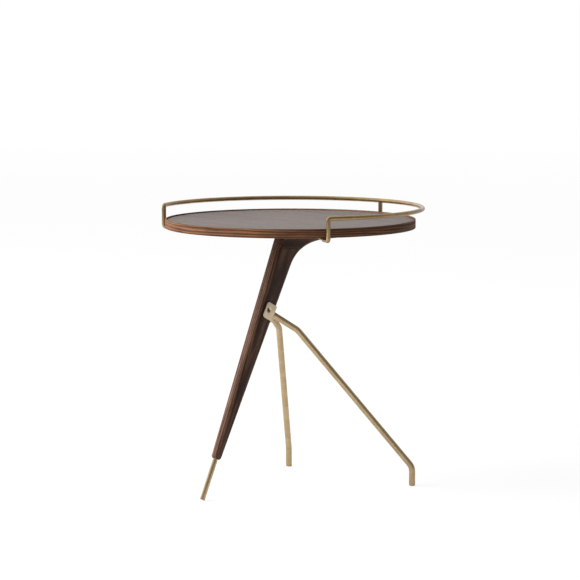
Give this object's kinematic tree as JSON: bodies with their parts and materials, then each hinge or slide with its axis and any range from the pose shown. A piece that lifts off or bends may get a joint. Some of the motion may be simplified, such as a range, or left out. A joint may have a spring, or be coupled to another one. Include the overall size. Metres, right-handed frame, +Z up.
{
  "type": "side table",
  "caption": "Round walnut side table with a brass gallery rail, one tapered walnut leg and bent brass legs joined by a folded bracket.",
  "frame": {"origin": "floor level, under the middle of the bounding box; the top's centre is 8.25 mm further to -Y", "axes": "+Z up; -Y towards the walnut leg's foot and the open side of the rail; +Y towards the back, between the brass feet; +X across"},
  "size_m": [0.4826, 0.4671, 0.5088],
  "materials": {
    "walnut_solid": "oiled, satin",
    "walnut_veneer": "satin lacquer",
    "core_board": "raw board",
    "beech": "raw",
    "satin_brass": "brushed, satin",
    "insert_brass": "as machined",
    "steel": "zinc plated"
  },
  "bodies": {
    "root": {"top_core_panel": "core_board", "top_veneer": "walnut_veneer", "underside_veneer": "walnut_veneer", "edge_band": "walnut_solid", "walnut_leg": "walnut_solid", "walnut_arm": "walnut_solid", "brass_tip_rod": "satin_brass", "leg_bracket": "satin_brass", "bracket_bolt": "satin_brass", "bracket_sleeve_nut": "satin_brass", "brass_leg_right": "satin_brass", "brass_leg_left": "satin_brass", "gallery_rail": "satin_brass", "rail_rear_post": "satin_brass", "leg_screw_1": "steel", "leg_screw_2": "steel", "leg_screw_3": "steel", "threaded_insert_1": "insert_brass", "threaded_insert_2": "insert_brass", "threaded_insert_3": "insert_brass", "leg_dowel_1": "beech", "leg_dowel_2": "beech", "joint_dowel_1": "beech", "joint_dowel_2": "beech", "rail_screw_1": "satin_brass", "rail_screw_2": "satin_brass", "rail_screw_3": "satin_brass"}
  },
  "joints": []
}
